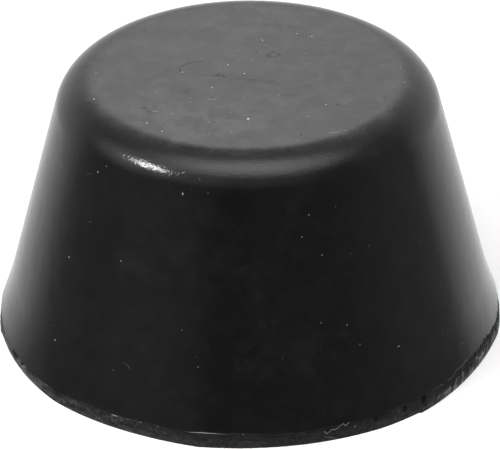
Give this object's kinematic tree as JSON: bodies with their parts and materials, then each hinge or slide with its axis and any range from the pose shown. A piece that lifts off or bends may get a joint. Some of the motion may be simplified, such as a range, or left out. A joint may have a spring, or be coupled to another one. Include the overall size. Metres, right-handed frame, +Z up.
{
  "type": "rubber lift pad",
  "caption": "Solid black rubber lift pad: a truncated cone with a flat top, a rounded top edge, a slightly flared foot and a knife-trimmed web round it.",
  "frame": {"origin": "middle of the flat underside", "axes": "+Z up along the cone's axis to the flat top, -Y towards the viewer of the picture"},
  "size_m": [0.0745, 0.0746, 0.0392],
  "materials": {
    "rubber": "satin, moulded, with a rougher knife-cut rim"
  },
  "bodies": {
    "root": {"pad": "rubber"}
  },
  "joints": []
}
